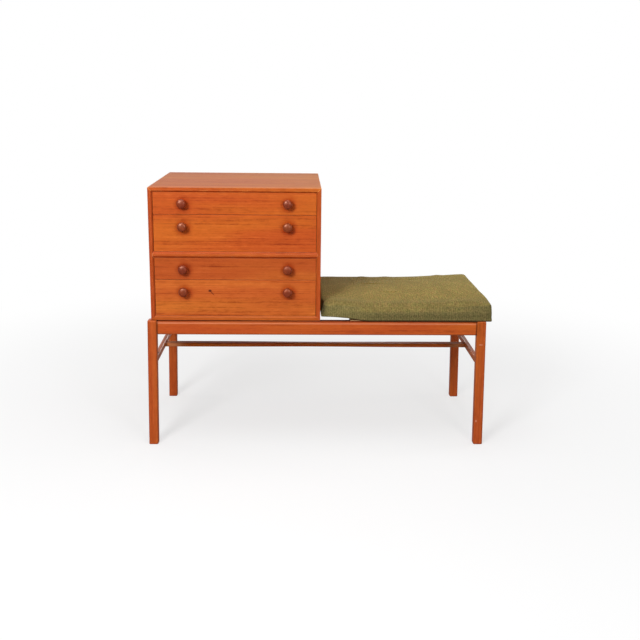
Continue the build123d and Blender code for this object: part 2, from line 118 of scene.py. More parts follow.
def object_place(tree):
    """The place on the part, in metres; every piece has its origin at the part's."""
    return add(tree, "TexCoord").outputs["Object"]


def mixed(tree, share, first, second):
    """Two colours mixed, with this share of the second."""
    node = add(tree, "Mix", data_type="RGBA", blend_type="MIX", clamp_factor=True)
    for number, value in ((0, share), (6, first), (7, second)):
        put(tree, node.inputs[number], value)
    return node.outputs[2]


def tinted(tree, share, tone, *factors):
    """A colour, with this share of it multiplied by a factor for red, green and blue."""
    return mixed(tree, share, tone, stretched(tree, tone, *factors))


def noise(tree, vector, scale=1.0, detail=2.0, rough=0.5):
    """Noise from 0 to 1 at a vector."""
    return add(tree, "TexNoise", {"Vector": vector, "Scale": scale, "Detail": detail,
                                  "Roughness": rough}).outputs["Fac"]


def streaky(tree, vector, along, across, detail, rough=0.5):
    """Noise drawn out along X: along and across are how fast it changes each way."""
    return noise(tree, stretched(tree, vector, along, across, across), 1.0, detail, rough)


def group(name, inputs, outputs):
    """An empty shader node group: (tree, its input node's sockets, its output node's)."""
    tree = bpy.data.node_groups.new(name, "ShaderNodeTree")
    for way, sockets in (("INPUT", inputs), ("OUTPUT", outputs)):
        for label, kind in sockets:
            tree.interface.new_socket(label, in_out=way, socket_type="NodeSocket" + kind)
    return tree, tree.nodes.new("NodeGroupInput").outputs, tree.nodes.new("NodeGroupOutput").inputs


def material(name):
    """An empty material with a Principled shader: (material, tree, shader)."""
    made = bpy.data.materials.new(name)
    made.use_nodes = True
    tree = made.node_tree
    return made, tree, tree.nodes["Principled BSDF"]


def finish_with(node_name, made):
    """Gives a CAD node its material."""
    data = NODES[node_name].data
    data.materials.clear()
    data.materials.append(made)


def linked(thing):
    """Puts an object into the scene."""
    bpy.context.scene.collection.objects.link(thing)
    return thing


# ---------------------------------------------------------------- wood

def grain_group():
    """Sawn wood, with the grain along X.

    Growth rings are noise read at the distance from the tree's heart, which wanders a little
    along the board. Streaks, lines, fibres and pores are noise drawn out along the grain, each
    finer than the last, and flecks are short. Their weighted sum less its usual value, times the
    contrast, is the shade, from light over mid to dark. Broad patches shift hue and brightness.
    """
    tree, given, out = group("grain", [
        ("Position", "Vector"), ("Heart", "Vector"), ("Seed", "Float"), ("Rings", "Float"),
        ("Contrast", "Float"), ("Light", "Color"), ("Mid", "Color"), ("Dark", "Color"),
        ("Roughness", "Float"),
    ], [("Colour", "Color"), ("Height", "Float"), ("Roughness", "Float")])
    seed = given["Seed"]
    shift = add(tree, "CombineXYZ", {0: seed, 1: seed, 2: seed})
    here = add(tree, "VectorMath", {0: given["Position"], 1: shift.outputs[0]}).outputs[0]

    wander = maths(tree, "SUBTRACT", streaky(tree, here, 1.3, 4.0, 2.0), 0.5)
    off = stretched(tree, less(tree, given["Position"], given["Heart"]), 0.0, 1.0, 1.0)
    radius = maths(tree, "ADD", length(tree, off), maths(tree, "MULTIPLY", wander, 0.014))
    ring_at = add(tree, "CombineXYZ", {
        0: maths(tree, "MULTIPLY", radius, given["Rings"]),
        1: maths(tree, "MULTIPLY", parts(tree, here)[0], 0.6), 2: seed}).outputs[0]
    rings = step(tree, noise(tree, ring_at, detail=3.0, rough=0.7), 0.32, 0.68)
    bands = step(tree, streaky(tree, ring_at, 0.13, 1.0, 1.0), 0.32, 0.68)
    streaks = step(tree, streaky(tree, here, 3.0, 200.0, 3.0, 0.65), 0.36, 0.64)
    lines = step(tree, streaky(tree, here, 4.5, 330.0, 2.0, 0.6), 0.46, 0.66)
    fibres = streaky(tree, here, 13.0, 520.0, 3.0, 0.7)
    flecks = step(tree, streaky(tree, here, 36.0, 110.0, 4.0, 0.75), 0.32, 0.68)
    pores = step(tree, streaky(tree, here, 55.0, 1500.0, 1.0), 0.60, 0.74)
    patches = step(tree, streaky(tree, here, 1.6, 12.0, 2.0), 0.3, 0.7)

    shade = maths(tree, "MULTIPLY", rings, 0.14)
    for layer, weight in ((bands, 0.12), (streaks, 0.17), (fibres, 0.40), (lines, 0.14),
                          (flecks, 0.20)):
        shade = maths(tree, "MULTIPLY_ADD", layer, weight, shade)
    shade = maths(tree, "SUBTRACT", shade, 0.555)
    shade = maths(tree, "MULTIPLY_ADD", shade, given["Contrast"], 0.5, clamp=True)
    tone = mixed(tree, step(tree, shade, 0.0, 0.5), given["Light"], given["Mid"])
    tone = mixed(tree, step(tree, shade, 0.5, 1.0), tone, given["Dark"])
    tone = tinted(tree, maths(tree, "MULTIPLY", pores, 0.35), tone, 0.45, 0.36, 0.32)
    shifted = add(tree, "HueSaturation", {"Hue": step(tree, patches, 0.0, 1.0, 0.495, 0.505),
                                          "Saturation": 1.0,
                                          "Value": step(tree, patches, 0.0, 1.0, 0.95, 1.05),
                                          "Color": tone})
    tree.links.new(shifted.outputs[0], out["Colour"])
    height = maths(tree, "MULTIPLY_ADD", fibres, 0.5, maths(tree, "MULTIPLY", pores, -1.0))
    tree.links.new(height, out["Height"])
    rough = maths(tree, "MULTIPLY_ADD", fibres, 0.16, given["Roughness"])
    rough = maths(tree, "MULTIPLY_ADD", pores, 0.12, rough)
    tree.links.new(maths(tree, "SUBTRACT", rough, 0.08), out["Roughness"])
    return tree


def wear_and_shade_group():
    """Where a board's arrises are abraded and lit, and where shade is painted into it.

    Its arrises are found where a rounded normal leaves the true one; their colour is partly real
    abrasion, partly painted highlight. Its joints and the gaps beside it get painted shade, found
    where little open space is left in front of the surface.
    """
    tree, given, out = group("wear_and_shade", [("Position", "Vector"), ("Reach", "Float"),
                                      ("Gap", "Float")], [("Worn and lit", "Float"), ("Gap shade", "Float")])
    rounded = add(tree, "Bevel", {"Radius": given["Reach"]}, samples=6).outputs[0]
    true = add(tree, "NewGeometry").outputs["Normal"]
    same = add(tree, "VectorMath", {0: rounded, 1: true}, operation="DOT_PRODUCT").outputs["Value"]
    rubbed = step(tree, noise(tree, given["Position"], 60.0, detail=3.0), 0.25, 0.7)
    tree.links.new(maths(tree, "MULTIPLY", step(tree, same, 0.995, 0.90), rubbed), out["Worn and lit"])
    open_space = add(tree, "AmbientOcclusion", {"Distance": given["Gap"]}, samples=8).outputs["AO"]
    tree.links.new(step(tree, open_space, 0.85, 0.35), out["Gap shade"])
    return tree


GRAIN = grain_group()
WEAR_AND_SHADE = wear_and_shade_group()
RANDOM = np.random.default_rng(1962)
TURNS = {"X": (0, 1, 2), "Y": (1, 2, 0), "Z": (2, 0, 1)}     # which axes become X, Y, Z

TEAK = {
    "light": colour(208, 105, 46), "mid": colour(188, 86, 32), "dark": colour(144, 54, 14),
    "worn": colour(208, 130, 78), "rough": 0.37, "specular": 0.36, "rings": 210.0,
    "contrast": 1.2, "heart": 90.0, "rubbed": 0.35, "edge": 0.0016, "gap_shade": 0.8, "gap": 0.007,
    "tint": (1.0, 0.62, 0.42, 1.0),
}
LEG = dict(TEAK, light=colour(202, 102, 44), mid=colour(181, 83, 31), dark=colour(136, 54, 16),
           worn=colour(196, 122, 76), heart=0.0)
# the chest's top: its arris colour is mostly a painted highlight, and its upper face is
# sun-bleached with a painted sheen
TOP = dict(TEAK, light=colour(212, 112, 46), mid=colour(190, 91, 34), dark=colour(142, 55, 14),
           faded_and_sheen=(0.85, 1.14, 1.20), worn=colour(255, 186, 100), rubbed=1.0, rough=0.50,
           specular=0.22, heart=0.0)
# the rails' painted shade in gaps reaches further, painting the shade under the chest
RAIL = dict(LEG, light=colour(208, 105, 44), mid=colour(189, 86, 32), dark=colour(150, 60, 18),
            worn=colour(176, 116, 84), contrast=1.0, gap=0.016, gap_shade=0.9, heart=90.0)
# a darker copy of the teak for the chest's boards: painted shade, darkening the sides' front edges
SIDE = dict(TEAK, light=colour(200, 98, 42), mid=colour(176, 78, 28), dark=colour(134, 50, 14))
VENEER = dict(TEAK, light=colour(186, 128, 78), mid=colour(164, 104, 60),
              dark=colour(132, 78, 42), rough=0.6, specular=0.3)
BEECH = dict(TEAK, gap_shade=0.0, light=colour(214, 178, 134), mid=colour(196, 156, 112),
             dark=colour(170, 126, 84), rough=0.55, specular=0.35, tint=(1.0, 0.9, 0.8, 1.0))
LINING = dict(BEECH, light=colour(206, 166, 118), mid=colour(186, 142, 96),
              dark=colour(158, 112, 70))
KNOB = dict(TEAK, light=colour(156, 64, 30), mid=colour(122, 44, 16), dark=colour(80, 24, 8),
            worn=colour(150, 66, 34), rough=0.36, specular=1.0, rings=420.0, contrast=1.1,
            heart=35.0, reach=0.03, tint=(1.0, 0.54, 0.38, 1.0), gap_shade=0.5)
FRONT = dict(TEAK, gap_shade=0.0)
FRONTS = (                        # the drawers' fronts, from the top down
    dict(FRONT, light=colour(215, 110, 44), mid=colour(191, 87, 30), dark=colour(146, 56, 12)),
    dict(FRONT, light=colour(216, 112, 48), mid=colour(192, 88, 30), dark=colour(142, 52, 12)),
    dict(FRONT, light=colour(204, 107, 48), mid=colour(184, 88, 32), dark=colour(142, 56, 16)),
    dict(FRONT, light=colour(216, 119, 52), mid=colour(194, 96, 36), dark=colour(146, 60, 16)),
)


def wood(name, along, looks, *marks, **changes):
    """The material of one board: grain along an axis, with its own place in its own tree.

    heart is the direction of the tree's heart, in degrees, in the plane across the grain, and
    reach the distance to it. Each of marks takes the tree, the place and the colour so far, and
    gives the new colour.
    """
    looks = {**looks, **changes}
    made, tree, shader = material(name)
    lowest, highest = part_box(name)
    middle = (lowest + highest) / 2
    axes = TURNS[along]
    reach = looks.get("reach", RANDOM.uniform(0.25, 0.6))
    angle = math.radians(looks["heart"] + RANDOM.uniform(-18.0, 18.0))
    heart = (0.0, middle[axes[1]] + reach * math.cos(angle),
             middle[axes[2]] + reach * math.sin(angle))
    place = object_place(tree)
    xyz = parts(tree, place)
    turned = add(tree, "CombineXYZ", {n: xyz[axis] for n, axis in enumerate(axes)}).outputs[0]
    grain = add(tree, "Group", node_tree=GRAIN)
    for socket, value in (("Position", turned), ("Heart", heart),
                          ("Seed", RANDOM.uniform(0.0, 4.0)), ("Rings", looks["rings"]),
                          ("Contrast", looks["contrast"]), ("Light", looks["light"]),
                          ("Mid", looks["mid"]), ("Dark", looks["dark"]),
                          ("Roughness", looks["rough"])):
        put(tree, grain.inputs[socket], value)
    wear_and_shade = add(tree, "Group", node_tree=WEAR_AND_SHADE)
    for socket, value in (("Position", place), ("Reach", looks["edge"]), ("Gap", looks["gap"])):
        put(tree, wear_and_shade.inputs[socket], value)

    tone = grain.outputs["Colour"]
    facing = upward(tree)
    if "faded_and_sheen" in looks:
        # the upper face is sun-bleached and carries a painted sheen, paler and less red; the edges
        # under it don't
        tone = tinted(tree, step(tree, facing, 0.6, 0.95), tone, *looks["faded_and_sheen"])
    if looks["gap_shade"]:
        # painted shade on the slants and arrises that face down
        tone = tinted(tree, step(tree, facing, -0.2, -0.6), tone, 0.75, 0.48, 0.24)
    # the arrises take their abraded colour, partly a painted highlight
    tone = mixed(tree, maths(tree, "MULTIPLY", wear_and_shade.outputs["Worn and lit"], looks["rubbed"]),
                 tone, looks["worn"])
    # painted shade in the joints and the gaps beside the board
    if looks["gap_shade"]:
        tone = tinted(tree, maths(tree, "MULTIPLY", wear_and_shade.outputs["Gap shade"], looks["gap_shade"]), tone,
                      0.30, 0.16, 0.08)
    for mark in marks:
        tone = mark(tree, place, tone)
    bump = add(tree, "Bump", {"Height": grain.outputs["Height"], "Strength": 0.5,
                              "Distance": 0.00012})
    tree.links.new(tone, shader.inputs["Base Color"])
    tree.links.new(grain.outputs["Roughness"], shader.inputs["Roughness"])
    tree.links.new(bump.outputs[0], shader.inputs["Normal"])
    shader.inputs["Specular IOR Level"].default_value = looks["specular"]
    shader.inputs["Specular Tint"].default_value = looks["tint"]
    finish_with(name, made)


def steel():
    """Plain steel with a little variation in colour and roughness."""
    made, tree, shader = material("steel")
    cloudy = noise(tree, object_place(tree), 90.0, detail=3.0)
    bright = colour(150, 148, 142)
    darker = tuple(value * 0.8 for value in bright[:3]) + (1.0,)
    tree.links.new(mixed(tree, cloudy, darker, bright), shader.inputs["Base Color"])
    tree.links.new(step(tree, cloudy, 0.2, 0.8, 0.32, 0.44), shader.inputs["Roughness"])
    shader.inputs["Metallic"].default_value = 1.0
    return made


# ---------------------------------------------------------------- marks on the wood

FRAME_MIDDLE = -0.0035            # the frame's middle, along the bench
JOINT = 0.464                     # from there to the joints between a long rail and its legs
SHADOW_OFFSET = Vector((0.004, 0.0, -0.004))    # the middle of a knob's painted shadow, from the knob's middle
KNOT = (-0.3135, 0.0, 0.4665)     # the knot on the lowest drawer's front
KNOT_ELLIPSES = (                 # turn in radians, centre along it, two half sizes, strength
    (0.0, 0.0, 0.0050, 0.0040, 0.95),
    (-0.83, 0.009, 0.0095, 0.0016, 0.7),
)
SCUFFS = (                        # x and z of the middle, two half sizes
    (0.4740, 0.3102, 0.0060, 0.0014),
    (0.4712, 0.0743, 0.0022, 0.0034),
)


def joint_groove_shade(tree, place, tone):
    """Painted shade in the two upright grooves between a long rail and its legs."""
    off = apart(tree, parts(tree, place)[0], FRAME_MIDDLE)
    mask = step(tree, maths(tree, "SUBTRACT", JOINT, off), 0.0050, 0.0012, 0.0, 0.85)
    return mixed(tree, mask, tone, colour(96, 38, 8))


def rail_painted_light(tree, place, tone):
    """A rail's long edges: painted shade on the rounding's top, a painted highlight under it and
    painted shade on the arris below.

    The three are bands of height on a rail 0.3382 to 0.3784 above the floor.
    """
    height = parts(tree, place)[2]
    tone = mixed(tree, step(tree, apart(tree, height, 0.3716), 0.0026, 0.0008, 0.0, 0.36), tone,
                 colour(236, 158, 120))
    for low, high, share, darker in ((0.3728, 0.3760, 0.75, (0.48, 0.42, 0.42)),
                                   (0.3432, 0.3400, 1.0, (0.62, 0.74, 0.95))):
        tone = tinted(tree, step(tree, height, low, high, 0.0, share), tone, *darker)
    return tone


def warm_in_front(tree, place, tone):
    """The front of the chest's top, warmer and with less blue than the rest."""
    share = maths(tree, "MULTIPLY", step(tree, parts(tree, place)[1], -0.150, -0.208),
                  step(tree, upward(tree), 0.3, 0.9))
    return tinted(tree, share, tone, 1.18, 1.12, 0.80)


def lit_at_ends(tree, place, tone):
    """Painted light on the long stretcher's ends, which the lamps reach past the legs."""
    off = apart(tree, parts(tree, place)[0], FRAME_MIDDLE)
    ragged = maths(tree, "MULTIPLY_ADD", noise(tree, place, 40.0), 0.03, off)
    return mixed(tree, step(tree, ragged, 0.420, 0.448, 0.0, 0.55), tone, colour(190, 132, 92))


def knob_shadows(number, tree, place, tone):
    """Painted shadows around a drawer's two knobs, darker and redder, centred right of and below
    each knob.
    """
    cloudy = noise(tree, place, 80.0)
    for side in ("left", "right"):
        lowest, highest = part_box(f"drawer_{number}_{side}_knob")
        off = less(tree, place, (lowest + highest) / 2 + SHADOW_OFFSET)
        far = length(tree, stretched(tree, off, 1.0, 0.0, 1.0))
        far = maths(tree, "MULTIPLY_ADD", cloudy, 0.012, far)
        tone = tinted(tree, step(tree, far, 0.036, 0.018, 0.0, 0.8), tone, 0.72, 0.42, 0.26)
    return tone


def knotted(tree, place, tone):
    """A small dark knot and the scratch that runs down from it to the right.

    Both are ellipses in the plane of the drawer's front, each turned about the knot.
    """
    x, _, z = parts(tree, less(tree, place, KNOT))
    ragged = maths(tree, "MULTIPLY", noise(tree, place, 700.0), 0.6)
    for turn, centre, half_length, half_width, strength in KNOT_ELLIPSES:
        c, s = math.cos(turn), math.sin(turn)
        along = maths(tree, "MULTIPLY_ADD", x, c, maths(tree, "MULTIPLY", z, s))
        across = maths(tree, "MULTIPLY_ADD", x, -s, maths(tree, "MULTIPLY", z, c))
        along = maths(tree, "DIVIDE", maths(tree, "SUBTRACT", along, centre), half_length)
        flat = add(tree, "CombineXYZ", {0: along, 1: maths(tree, "DIVIDE", across, half_width)})
        far = maths(tree, "ADD", length(tree, flat.outputs[0]), ragged)
        tone = mixed(tree, step(tree, far, 1.5, 0.9, 0.0, strength), tone, colour(84, 34, 18))
    return tone


def scuffed(tree, place, tone):
    """Two small pale scuffs on the front of the right-hand front leg."""
    for x, z, half_width, half_height in SCUFFS:
        off = less(tree, place, (x, 0.0, z))
        far = length(tree, stretched(tree, off, 1 / half_width, 0.0, 1 / half_height))
        tone = mixed(tree, step(tree, far, 1.4, 0.6, 0.0, 0.7), tone, colour(222, 150, 118))
    return tone


def dress_wood():
    """Every wooden board and the steel screws and pins. Each board draws from RANDOM in turn."""
    for side in ("left", "right"):
        for end in ("front", "back"):
            marks = [scuffed] if (end, side) == ("front", "right") else []
            wood(f"leg_{end}_{side}", "Z", LEG, *marks)
        wood(f"rail_{side}", "Y", LEG, rail_painted_light)
        wood(f"stretcher_{side}", "Y", LEG)
        wood(f"bearer_{side}", "Y", BEECH)
        wood(f"chest_{side}_side", "Z", SIDE)
    wood("rail_front", "X", RAIL, rail_painted_light, joint_groove_shade)
    wood("rail_back", "X", RAIL, rail_painted_light, joint_groove_shade)
    wood("stretcher_long", "X", LEG, lit_at_ends, specular=0.15, rough=0.5)
    wood("chest_top", "X", TOP, warm_in_front)
    # the bottom's and the divider's arris colours are mostly painted highlight along their upward
    # bevels
    wood("chest_bottom", "X", SIDE, worn=colour(186, 120, 84), rubbed=0.7)
    wood("chest_divider", "X", SIDE, light=colour(208, 103, 46), mid=colour(184, 82, 30),
         worn=colour(250, 172, 120), rubbed=0.9, edge=0.0012)
    wood("chest_back", "X", VENEER)
    for number, looks in enumerate(FRONTS, 1):
        wood(f"seat_slat_{number}", "Y", BEECH)      # there are as many slats as drawers
        marks = [partial(knob_shadows, number)] + ([knotted] if number == 4 else [])
        wood(f"drawer_{number}_front", "X", looks, *marks)
        wood(f"drawer_{number}_left_side", "Y", LINING)
        wood(f"drawer_{number}_right_side", "Y", LINING)
        wood(f"drawer_{number}_back", "X", LINING)
        wood(f"drawer_{number}_bottom", "X", LINING)
        wood(f"drawer_runners_{number}", "Y", BEECH)
        wood(f"drawer_{number}_left_knob", "Y", KNOB)
        wood(f"drawer_{number}_right_knob", "Y", KNOB)
    metal = steel()
    for name in ("slat_screws", "chest_screws", "back_pins"):
        finish_with(name, metal)


# ---------------------------------------------------------------- cushion

CHEST_SIDE = 0.0035               # the chest's right side, which the cushion touches
CUSHION_LEFT = CHEST_SIDE + 0.0006
CUSHION_BACK, CUSHION_DEPTH = 0.204, 0.412
SEAT = 0.3802                     # the cushion's underside, just clear of the slats' tops
RAIL_FRONT = -0.2135              # the front rail's face; its top is 1.6 mm under the slats'
LIFT, LIFT_LENGTH = 0.0135, 0.132    # how high and over what length the cushion rides up
BINS = 24                         # the strips in which a wall's line is found
VOXEL = 0.005                     # the size of the remeshed cushion's faces
CREASES = (                       # middle x and y, length, width and depth of each, in metres
    (0.222, -0.066, 0.026, 0.0050, 0.0028),
    (0.176, 0.050, 0.030, 0.0060, 0.0018),
    (0.300, 0.120, 0.050, 0.0080, 0.0015),
)
BUMPS = ((0.150, 0.016), (0.230, 0.018), (0.402, 0.014))   # x and width, on the back edge
PUCKERS = ((0.012, 0.004), (0.024, 0.003), (0.040, 0.003))  # x and width, at the front by the chest


def read(items, what, size, kind=float):
    """One attribute of all of a mesh's items, as an array with a row of this size for each."""
    flat = np.empty(len(items) * size, dtype=kind)
    items.foreach_get(what, flat)
    return flat.reshape(-1, size)


def points_of(mesh):
    """The places of a mesh's points."""
    return read(mesh.vertices, "co", 3)


def put_points(mesh, points):
    """Moves a mesh's points to new places."""
    mesh.vertices.foreach_set("co", points.ravel())
    mesh.update()


def smooth(value, low, high):
    """0 below low, 1 above high, smooth between."""
    t = np.clip((value - low) / (high - low), 0.0, 1.0)
    return t * t * (3.0 - 2.0 * t)


def bell(value, middle, width):
    """A Gaussian: 1 at the middle, 0.37 one width from it."""
    return np.exp(-((value - middle) / width) ** 2)


def eased(points, edges, times, share):
    """Moves every point a share of the way to the middle of its neighbours, several times."""
    count = np.bincount(edges.ravel(), minlength=len(points))[:, None]
    for _ in range(times):
        total = np.zeros_like(points)
        np.add.at(total, edges[:, 0], points[edges[:, 1]])
        np.add.at(total, edges[:, 1], points[edges[:, 0]])
        points = points + share * (total / count - points)
    return points


def apply_modifiers(piece):
    """Bakes a piece's modifiers into its mesh, at the current frame."""
    seen = piece.evaluated_get(bpy.context.evaluated_depsgraph_get())
    baked = bpy.data.meshes.new_from_object(seen)
    piece.modifiers.clear()
    piece.data = baked


def swollen(piece, pressure, furthest):
    """The filling: a cloth blown up from inside, each point moving no further than furthest."""
    start = points_of(piece.data)
    cloth = piece.modifiers.new("filling", "CLOTH")
    cloth.settings.use_pressure = True
    cloth.settings.uniform_pressure_force = pressure
    cloth.settings.quality = 6
    cloth.settings.tension_stiffness = cloth.settings.compression_stiffness = 20.0
    cloth.settings.bending_stiffness = 2.0
    cloth.settings.effector_weights.gravity = 0.0
    scene = bpy.context.scene
    for number in range(1, 21):
        scene.frame_set(number)
        piece.evaluated_get(bpy.context.evaluated_depsgraph_get())
    apply_modifiers(piece)
    scene.frame_set(1)
    moved = points_of(piece.data) - start
    far = np.linalg.norm(moved, axis=1, keepdims=True)
    moved *= np.minimum(1.0, furthest / np.maximum(far, 1e-9))
    put_points(piece.data, start + moved)


def underside(x, y):
    """The height of the cushion's underside: flat, but lifted where it rides up by the chest.

    It is the CAD's own rule: the lift is greatest at the front left corner, falls off with the
    0.55th power of the distance along the bench and linearly towards the back.
    """
    along = np.maximum(0.0, 1.0 - (x - CUSHION_LEFT) / LIFT_LENGTH) ** 0.55
    return SEAT + 0.0001 + LIFT * along * np.clip((CUSHION_BACK - y) / CUSHION_DEPTH, 0.0, 1.0)


def squared(points, out, along, way, height):
    """Fills out the rounding beside a wall, where a seam holds the cloth square.

    The wall's line is the furthest point in each of the bins along it. A point's distance inside
    that line shrinks by up to 85 per cent, less the further it is from the seam's level and the
    further in it is.
    """
    wall = (height > 0.008) & (height < 0.020)
    ends = np.linspace(points[:, along].min(), points[:, along].max(), BINS + 1)
    place = np.clip(np.digitize(points[:, along], ends) - 1, 0, BINS - 1)
    line = np.full(BINS, -np.inf)
    np.maximum.at(line, place[wall], way * points[wall, out])
    middles = (ends[1:] + ends[:-1]) / 2
    inside = np.interp(points[:, along], middles, line) - way * points[:, out]
    share = (1.0 - smooth(height, 0.003, 0.012)) * (1.0 - smooth(inside, 0.008, 0.030))
    points = points.copy()
    points[:, out] += way * 0.85 * share * np.maximum(inside, 0.0)
    return points


def held_by_foam(points, foam, low, high):
    """The block of foam holds the corners out; the upper front edge is the softest.

    A point goes from the foam towards the swollen cloth: a tenth of the way on the lower half, a
    quarter on the upper half and most of it on the upper front edge, but not at the right end.
    """
    upper = smooth(foam[:, 2], low[2] + 0.018, low[2] + 0.040)
    front = 1.0 - smooth(foam[:, 1], low[1] + 0.020, low[1] + 0.075)
    end = smooth(foam[:, 0], high[0] - 0.070, high[0] - 0.015)
    share = (0.10 + 0.14 * upper + 0.60 * upper * front * (1.0 - end))[:, None]
    points = foam + share * (points - foam)
    points[:, 0] = np.maximum(points[:, 0], CUSHION_LEFT)
    return points


def seamed(points, low, high):
    """The walls, square where the lower seam holds them.

    The right-hand end and the front wall stand a little proud of the foam, and the end has a
    swelling near its front. The right, front and left walls are squared at their lower seam, the
    left one's lower corner is pulled down, and the left one is squared at its top as well.
    """
    x, y = points[:, 0], points[:, 1]
    x += (0.0030 + 0.0035 * bell(y, -0.125, 0.060)) * smooth(x, high[0] - 0.060, high[0] - 0.010)
    y -= 0.0022 * (1.0 - smooth(y, low[1] + 0.010, low[1] + 0.050))
    height = points[:, 2] - underside(x, y)
    for out, along, way in ((0, 1, 1.0), (1, 0, -1.0), (0, 1, -1.0)):
        points = squared(points, out, along, way, height)
    corner = (1.0 - smooth(points[:, 0], CHEST_SIDE + 0.010, CHEST_SIDE + 0.024)) * (
        1.0 - smooth(height, 0.004, 0.012))
    points[:, 2] -= 0.8 * corner * np.maximum(height, 0.0)
    beside = points[:, 0] < CHEST_SIDE + 0.030
    row = np.clip(((points[:, 1] - low[1]) / 0.020).astype(int), 0, BINS - 1)
    top = np.full(BINS, -np.inf)
    np.maximum.at(top, row[beside], points[beside, 2])
    return squared(points, 0, 1, -1.0, top[row] - points[:, 2])


def puckered(points, low, high):
    """Small creases on the top, bumps on its back edge and puckers beside the chest.

    A crease is a Gaussian groove with a ridge behind it; a bump is a Gaussian across the back
    edge, which is raised all along; a pucker is a groove that runs up the front wall. Creases
    and bumps fade out below the top.
    """
    points = points.copy()
    x, y, z = points.T
    upper = smooth(z, high[2] - 0.022, high[2] - 0.012)
    rise = 0.0016 * smooth(y, high[1] - 0.10, high[1] - 0.03)
    for middle_x, middle_y, crease, width, depth in CREASES:
        across = (y - middle_y) / width
        rise -= depth * bell(x, middle_x, crease) * (
            bell(across, 0.0, 1.0) - 0.6 * bell(across, 1.8, 1.0))
    for middle_x, width in BUMPS:
        rise += 0.0020 * bell(x, middle_x, width) * smooth(y, high[1] - 0.05, high[1] - 0.02)
    z += rise * upper
    by_front = 1.0 - smooth(y, low[1] + 0.010, low[1] + 0.045)
    for middle_x, width in PUCKERS:
        y += 0.0030 * bell(x, middle_x, width) * by_front * smooth(z, low[2] + 0.012,
                                                                   low[2] + 0.030)
    return points


def hung(points):
    """Lays the underside on the slats; past their ends the lower front edge hangs to the rail."""
    points = points.copy()
    hang = 1.0 - smooth(points[:, 1], RAIL_FRONT + 0.0085, RAIL_FRONT + 0.011)
    hang *= 1.0 - smooth(points[:, 2], SEAT + 0.002, SEAT + 0.012)
    points[:, 2] = np.maximum(points[:, 2], SEAT) - 0.0015 * hang
    return points


def make_cushion():
    """The seat cushion, grown from its CAD solid by a cloth simulation.

    The solid is welded, remeshed evenly and rounded. It is then drawn in by 3 mm and blown up
    again, and the foam's own shape, the seams, the creases and the hanging edge are put on.
    """
    piece = linked(bpy.data.objects.new("seat_cushion_cover", NODES["seat_cushion"].data.copy()))
    piece.data.materials.clear()
    shape = bmesh.new()
    shape.from_mesh(piece.data)
    bmesh.ops.remove_doubles(shape, verts=shape.verts, dist=1e-5)
    bmesh.ops.recalc_face_normals(shape, faces=shape.faces)
    shape.to_mesh(piece.data)
    shape.free()
    remesh = piece.modifiers.new("even", "REMESH")
    remesh.mode, remesh.voxel_size = "VOXEL", VOXEL
    apply_modifiers(piece)

    mesh = piece.data
    foam = points_of(mesh)
    low, high = foam.min(axis=0), foam.max(axis=0)
    rounded = eased(foam, read(mesh.edges, "vertices", 2, np.int64), 6, 0.5)
    put_points(mesh, rounded)
    put_points(mesh, rounded - 0.003 * read(mesh.vertex_normals, "vector", 3))
    swollen(piece, 4.0, 0.007)
    points = held_by_foam(points_of(piece.data), foam, low, high)
    points = seamed(points, low, high)
    points = puckered(points, low, high)
    put_points(piece.data, hung(points))
    finer = piece.modifiers.new("finer", "SUBSURF")
    finer.levels = finer.render_levels = 1
    apply_modifiers(piece)
    piece.data.shade_smooth()
    keep_weave(piece.data)
    piece.data.materials.append(wool())
    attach(piece, "cushion")
    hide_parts("seat_cushion")


def keep_weave(mesh):
    """Keeps the weave's own coordinates on the mesh, in the attribute weave.

    They are the place along the bench, the place across the top, and the way down the front and
    the back, so that the cloth isn't stretched on the walls.
    """
    points, normals = points_of(mesh), read(mesh.vertex_normals, "vector", 3)
    drop = points[:, 2] - points[:, 2].max()
    front, back = smooth(-normals[:, 1], 0.3, 0.9), smooth(normals[:, 1], 0.3, 0.9)
    right, left = smooth(normals[:, 0], 0.3, 0.9), smooth(-normals[:, 0], 0.3, 0.9)
    weave = np.stack((points[:, 0] + drop * (left - right), points[:, 1],
                      drop * (front - back)), axis=1)
    mesh.attributes.new("weave", "FLOAT_VECTOR", "POINT").data.foreach_set("vector", weave.ravel())


RIB, COURSE = 0.0064, 0.0046      # the weave's pitch along the bench and across it


def ridges(tree, value):
    """One rounded ridge for each whole step of value."""
    wave = maths(tree, "SINE", maths(tree, "MULTIPLY", value, math.pi))
    return maths(tree, "ABSOLUTE", wave)


